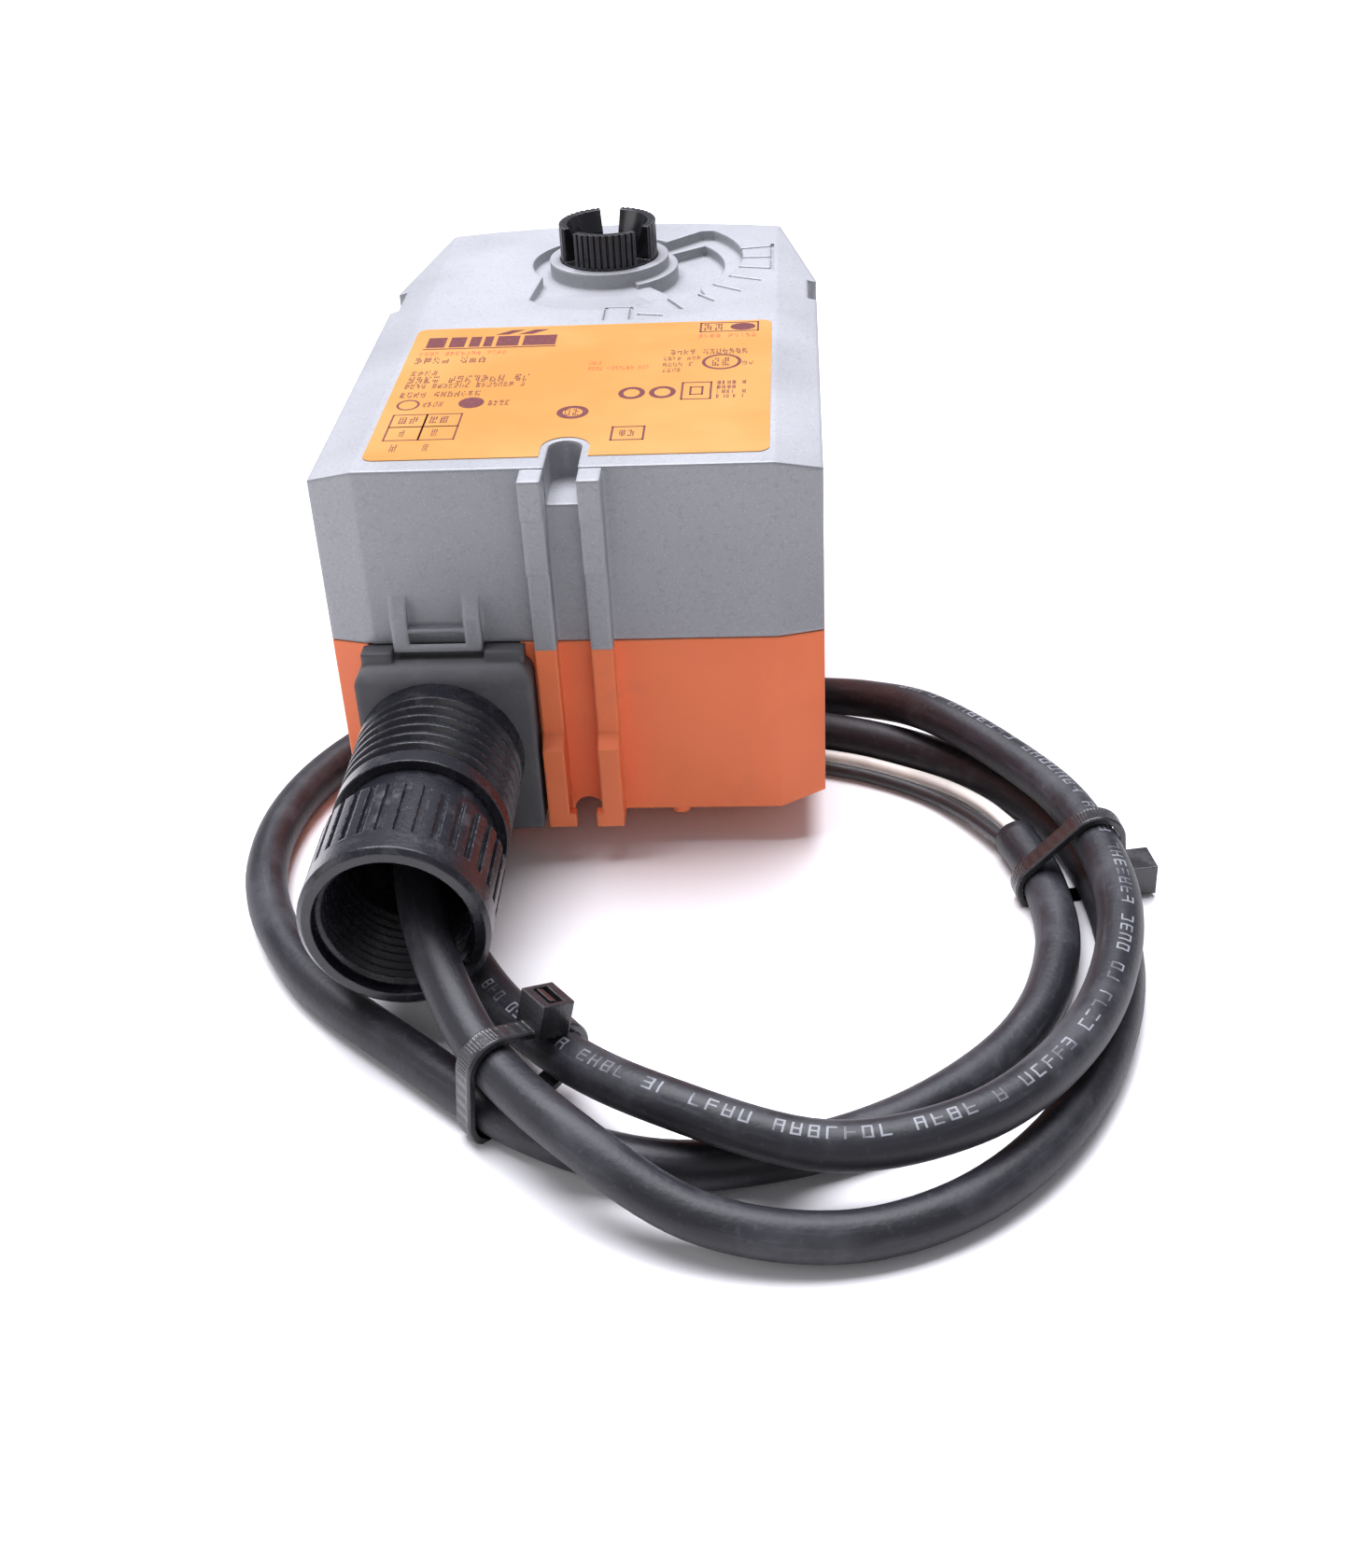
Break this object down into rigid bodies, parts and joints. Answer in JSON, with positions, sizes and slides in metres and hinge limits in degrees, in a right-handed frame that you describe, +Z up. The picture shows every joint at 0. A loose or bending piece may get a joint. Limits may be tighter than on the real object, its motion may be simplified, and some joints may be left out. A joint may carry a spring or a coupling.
{
  "type": "motorised actuator head",
  "caption": "Motorised actuator head that turns a damper or valve shaft through 95 degrees and springs back, with its conduit fitting and coiled supply cable.",
  "frame": {"origin": "on the axis of the output sleeve's shaft bore, at the sleeve's lower end, on the floor the head stands on", "axes": "+Z up along the output shaft, out of the upper crown; -Y towards the front face with the conduit fitting and the strap slot; +X to the right as seen from the front"},
  "size_m": [0.156, 0.2272, 0.0805],
  "materials": {
    "housing_cover": "light silver-grey speckled paint",
    "housing_base": "orange moulded plastic",
    "housing_seal": "soft black gasket",
    "rating_label": "amber printed film",
    "output_sleeve": "black glass-filled plastic",
    "bush_upper": "sintered bronze",
    "bush_lower": "sintered bronze",
    "shaft_seal_upper": "black rubber",
    "shaft_seal_lower": "black rubber",
    "cable_block": "black rubbery moulding",
    "conduit_collar": "black moulded plastic",
    "conduit_ring": "black moulded plastic",
    "cable_grommet": "black rubber",
    "supply_cable": "black rubber sheath, scuffed",
    "lead_white": "white insulation",
    "lead_black": "black insulation",
    "cable_tie_front": "black nylon",
    "cable_tie_side": "black nylon",
    "housing_screws": "zinc-plated steel",
    "sector_gear": "sintered brass-coloured metal",
    "gear_first": "natural acetal",
    "gear_second": "natural acetal",
    "axle_first": "ground steel pin",
    "axle_second": "ground steel pin",
    "motor_can": "drawn steel",
    "motor_cap": "black moulded plastic",
    "motor_stator": "dark ferrite ring",
    "motor_rotor": "laminated steel",
    "motor_pinion": "brass",
    "motor_bearing_lower": "sintered bronze",
    "motor_bearing_upper": "sintered bronze",
    "gear_plate_lower": "pressed steel",
    "gear_plate_upper": "pressed steel",
    "plate_pillars": "turned steel",
    "return_spring": "blued spring steel",
    "spring_cup": "pressed steel",
    "spring_arbor": "black moulded plastic",
    "end_stop": "steel",
    "circuit_board": "green laminate",
    "board_posts": "turned steel",
    "capacitor": "blue sleeved aluminium can",
    "transformer": "laminated core and taped winding",
    "relay": "blue plastic case",
    "choke": "enamelled copper winding",
    "varistor": "blue coated disc",
    "terminal_block": "green plastic"
  },
  "bodies": {
    "housing": {"housing_cover": "housing_cover", "housing_base": "housing_base", "housing_seal": "housing_seal", "rating_label": "rating_label", "bush_upper": "bush_upper", "bush_lower": "bush_lower", "shaft_seal_upper": "shaft_seal_upper", "shaft_seal_lower": "shaft_seal_lower", "cable_block": "cable_block", "conduit_collar": "conduit_collar", "cable_grommet": "cable_grommet", "supply_cable": "supply_cable", "lead_white": "lead_white", "lead_black": "lead_black", "cable_tie_front": "cable_tie_front", "cable_tie_side": "cable_tie_side", "housing_screws": "housing_screws", "axle_first": "axle_first", "axle_second": "axle_second", "motor_can": "motor_can", "motor_cap": "motor_cap", "motor_stator": "motor_stator", "motor_bearing_lower": "motor_bearing_lower", "motor_bearing_upper": "motor_bearing_upper", "gear_plate_lower": "gear_plate_lower", "gear_plate_upper": "gear_plate_upper", "plate_pillars": "plate_pillars", "return_spring": "return_spring", "spring_cup": "spring_cup", "end_stop": "end_stop", "circuit_board": "circuit_board", "board_posts": "board_posts", "capacitor": "capacitor", "transformer": "transformer", "relay": "relay", "choke": "choke", "varistor": "varistor", "terminal_block": "terminal_block"},
    "output": {"output_sleeve": "output_sleeve", "sector_gear": "sector_gear", "spring_arbor": "spring_arbor"},
    "gear_first": {"gear_first": "gear_first"},
    "gear_second": {"gear_second": "gear_second"},
    "motor_rotor": {"motor_rotor": "motor_rotor", "motor_pinion": "motor_pinion"},
    "conduit_ring": {"conduit_ring": "conduit_ring"}
  },
  "joints": [
    {"name": "output_turn", "type": "hinge", "parent": "housing", "child": "output", "pos_m": [0, 0, 0], "axis": [0, 0, 1], "range_deg": [0, 95], "stiffness_Nm_per_rad": 0.4, "springref_deg": -80.21, "deforming": ["return_spring"]},
    {"name": "first_turn", "type": "hinge", "parent": "housing", "child": "gear_first", "pos_m": [0, -0.035, 0], "axis": [0, 0, 1], "range_deg": [-571, 1]},
    {"name": "second_turn", "type": "hinge", "parent": "housing", "child": "gear_second", "pos_m": [0.01732, -0.045, 0], "axis": [0, 0, 1], "range_deg": [-1, 2281]},
    {"name": "motor_turn", "type": "hinge", "parent": "housing", "child": "motor_rotor", "pos_m": [0.02632, -0.057, 0], "axis": [0, 0, 1], "range_deg": [-9121, 1]},
    {"name": "conduit_ring_turn", "type": "hinge", "parent": "housing", "child": "conduit_ring", "pos_m": [-0.0239, -0.144, 0.0225], "axis": [0, -1, 0], "continuous": true}
  ],
  "couplings": [
    {"joint": "first_turn", "follows": "output_turn", "ratio": -6},
    {"joint": "second_turn", "follows": "output_turn", "ratio": 24},
    {"joint": "motor_turn", "follows": "output_turn", "ratio": -96}
  ]
}
